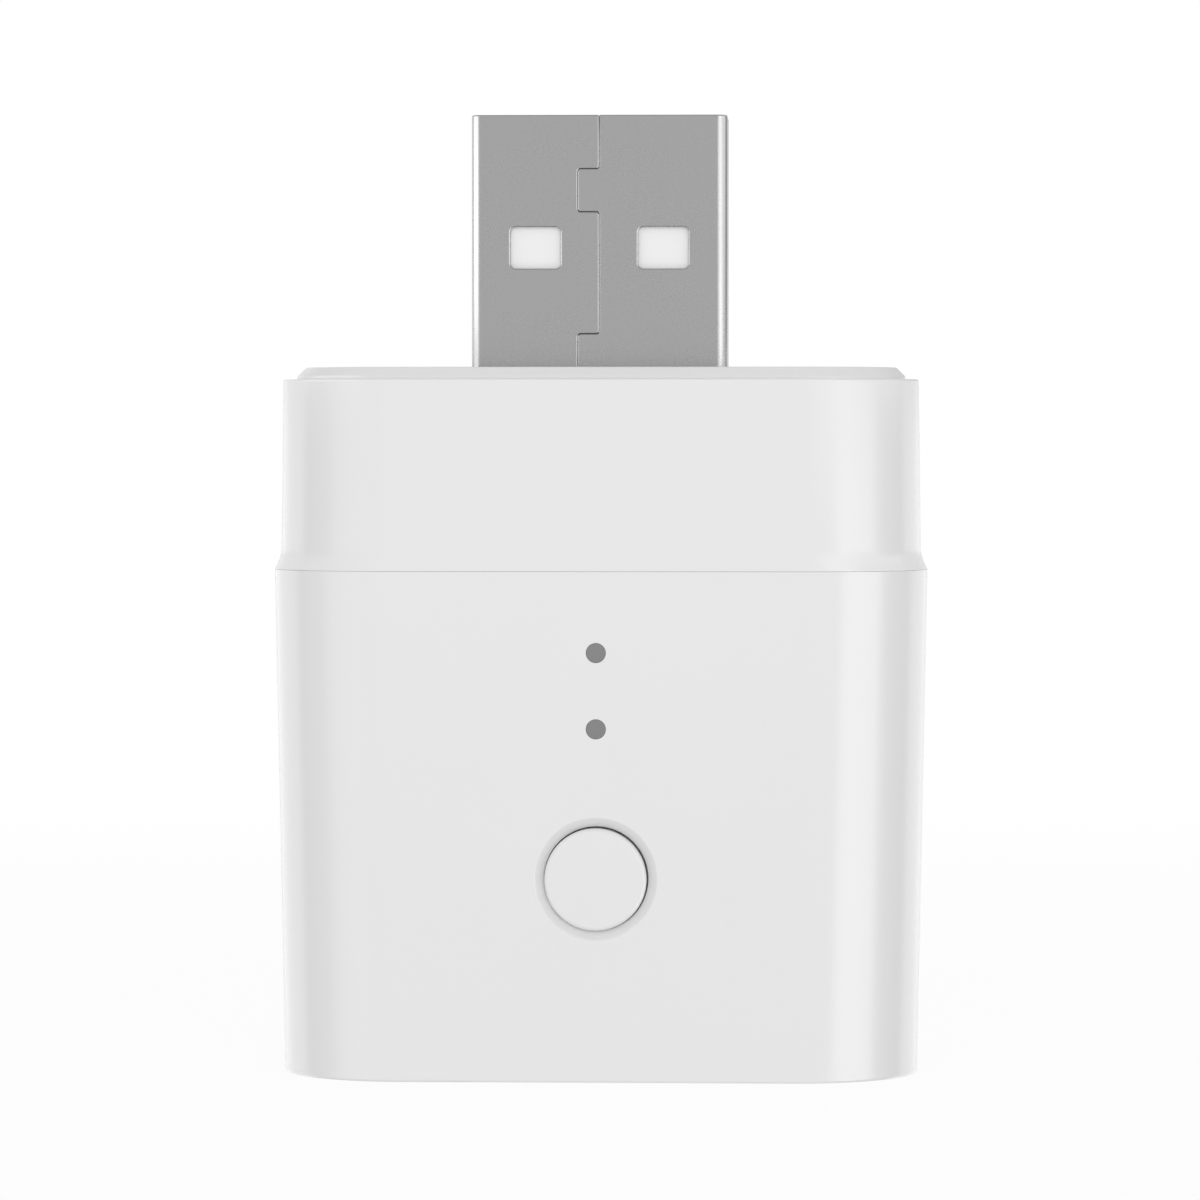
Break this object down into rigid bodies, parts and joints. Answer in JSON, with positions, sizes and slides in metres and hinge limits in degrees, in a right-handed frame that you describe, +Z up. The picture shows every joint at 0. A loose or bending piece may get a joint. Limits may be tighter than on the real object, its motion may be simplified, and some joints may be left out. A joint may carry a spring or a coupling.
{
  "type": "smart home usb radio stick",
  "caption": "Rounded white housing that stands on a flat base, with a flat metal plug on top, a flared seam at mid height, small indicator dots and a round push button that travels inwards.",
  "frame": {"origin": "middle of the flat base, which the stick stands on", "axes": "+Z up, along the plug and out of its tip; -Y out of the front face with the button and the dots; +X to the right of someone who faces that front"},
  "size_m": [0.0308, 0.012, 0.0451],
  "materials": {
    "housing_white": "satin moulded plastic",
    "button_white": "satin moulded plastic",
    "dot_grey": "smoked light guide, flush and smooth",
    "plug_steel": "fine satin nickel plate",
    "insulator_white": "plain moulded plastic",
    "contact_gold": "bright plated",
    "board_green": "lacquered fibre board",
    "trace_copper": "etched copper",
    "can_steel": "tin-plated sheet",
    "chip_black": "moulded epoxy",
    "capacitor_tan": "fired and moulded body",
    "lamp_clear": "clear resin on a white base",
    "switch_black": "moulded plastic",
    "spring_steel": "bright rolled strip"
  },
  "bodies": {
    "housing": {"lower_shell": "housing_white", "upper_shell": "housing_white", "light_guide_upper": "dot_grey", "light_guide_lower": "dot_grey", "usb_shell": "plug_steel", "usb_insulator": "insulator_white", "usb_contact_power": "contact_gold", "usb_contact_data_minus": "contact_gold", "usb_contact_data_plus": "contact_gold", "usb_contact_ground": "contact_gold", "main_board": "board_green", "antenna_trace": "trace_copper", "shield_can": "can_steel", "radio_chip": "chip_black", "flash_chip": "chip_black", "crystal": "can_steel", "esd_protector": "chip_black", "voltage_regulator": "chip_black", "input_capacitor": "capacitor_tan", "chip_resistors": "chip_black", "chip_capacitors": "capacitor_tan", "status_led_upper": "lamp_clear", "status_led_lower": "lamp_clear", "switch_base": "switch_black", "switch_cover": "can_steel", "switch_dome": "spring_steel", "switch_terminals": "spring_steel"},
    "button": {"button_cap": "button_white", "switch_plunger": "switch_black"}
  },
  "joints": [
    {"name": "button_press", "type": "slide", "parent": "housing", "child": "button", "axis": [0, 1, 0], "range_m": [0, 0.00025], "stiffness_N_per_m": 4000}
  ]
}
